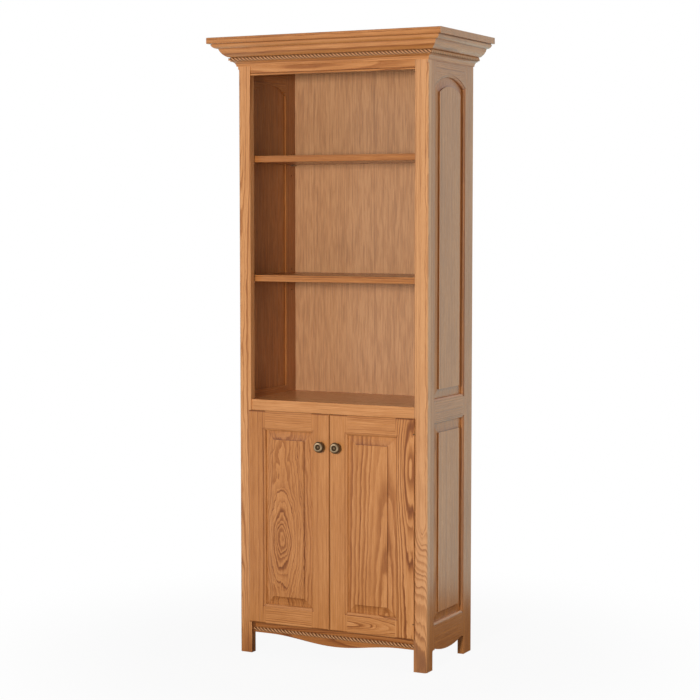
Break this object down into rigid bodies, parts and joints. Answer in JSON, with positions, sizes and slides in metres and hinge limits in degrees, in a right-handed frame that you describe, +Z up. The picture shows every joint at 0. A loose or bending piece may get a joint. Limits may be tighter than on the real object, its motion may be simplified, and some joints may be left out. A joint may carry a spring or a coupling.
{
  "type": "bookcase with cabinet doors",
  "caption": "Tall narrow oak bookcase: open adjustable shelves above a deck, raised-panel cabinet doors below, arched side panels, overhanging crown with rope moulding.",
  "frame": {"origin": "on the floor under the middle of the overall outline", "axes": "+Z up, +Y toward the back, so the doors and shelves face -Y, +X to the viewer's right"},
  "size_m": [0.751, 0.39, 1.829],
  "materials": {
    "oak_frame": "satin stained oak",
    "oak_panel": "satin stained oak",
    "oak_door": "satin stained oak",
    "oak_board": "satin stained oak",
    "oak_moulding": "satin stained oak",
    "oak_back": "oak veneered board",
    "antique_brass": "antiqued, satin",
    "plated_steel": "plated",
    "pale_zinc": "zinc plated",
    "brown_plastic": "matt"
  },
  "bodies": {
    "case": {"apron": "oak_frame", "apron_rope": "oak_moulding", "back_nails": "plated_steel", "back_panel": "oak_back", "cabinet_floor": "oak_board", "cap_board": "oak_moulding", "catch_block": "oak_frame", "crown_front": "oak_moulding", "crown_side_left": "oak_moulding", "crown_side_right": "oak_moulding", "deck": "oak_board", "hinge_leaves_left": "plated_steel", "hinge_leaves_right": "plated_steel", "hinge_screws": "plated_steel", "leg_left": "oak_frame", "leg_right": "oak_frame", "magnet_catch": "brown_plastic", "mid_rail": "oak_frame", "rope_front": "oak_moulding", "rope_side_left": "oak_moulding", "rope_side_right": "oak_moulding", "shelf_supports": "pale_zinc", "side_bottom_rail_left": "oak_frame", "side_bottom_rail_right": "oak_frame", "side_front_stile_left": "oak_frame", "side_front_stile_right": "oak_frame", "side_lower_panel_left": "oak_panel", "side_lower_panel_right": "oak_panel", "side_mid_rail_left": "oak_frame", "side_mid_rail_right": "oak_frame", "side_rear_stile_left": "oak_frame", "side_rear_stile_right": "oak_frame", "side_top_rail_left": "oak_frame", "side_top_rail_right": "oak_frame", "side_upper_panel_left": "oak_panel", "side_upper_panel_right": "oak_panel", "sub_top": "oak_board", "top_rail": "oak_frame"},
    "door_left": {"door_bottom_rail_left": "oak_door", "door_hinge_pins_left": "plated_steel", "door_hinge_stile_left": "oak_door", "door_meeting_stile_left": "oak_door", "door_panel_left": "oak_panel", "door_top_rail_left": "oak_door", "knob_left": "antique_brass", "knob_screw_left": "plated_steel", "strike_plate_left": "plated_steel"},
    "door_right": {"door_bottom_rail_right": "oak_door", "door_hinge_pins_right": "plated_steel", "door_hinge_stile_right": "oak_door", "door_meeting_stile_right": "oak_door", "door_panel_right": "oak_panel", "door_top_rail_right": "oak_door", "knob_right": "antique_brass", "knob_screw_right": "plated_steel", "strike_plate_right": "plated_steel"},
    "upper_shelf": {"upper_shelf": "oak_board"},
    "lower_shelf": {"lower_shelf": "oak_board"},
    "cabinet_shelf": {"cabinet_shelf": "oak_board"}
  },
  "joints": [
    {"name": "door_right_hinge", "type": "hinge", "parent": "case", "child": "door_right", "pos_m": [0.26615, -0.13315, 0.1405], "axis": [0, 0, 1], "range_deg": [0, 105]},
    {"name": "door_left_hinge", "type": "hinge", "parent": "case", "child": "door_left", "pos_m": [-0.26615, -0.13315, 0.1405], "axis": [0, 0, -1], "range_deg": [0, 105]},
    {"name": "upper_shelf_lift", "type": "slide", "parent": "case", "child": "upper_shelf", "axis": [0, 0, 1], "range_m": [0, 0.032]},
    {"name": "lower_shelf_lift", "type": "slide", "parent": "case", "child": "lower_shelf", "axis": [0, 0, 1], "range_m": [0, 0.032]},
    {"name": "cabinet_shelf_lift", "type": "slide", "parent": "case", "child": "cabinet_shelf", "axis": [0, 0, 1], "range_m": [0, 0.032]}
  ]
}
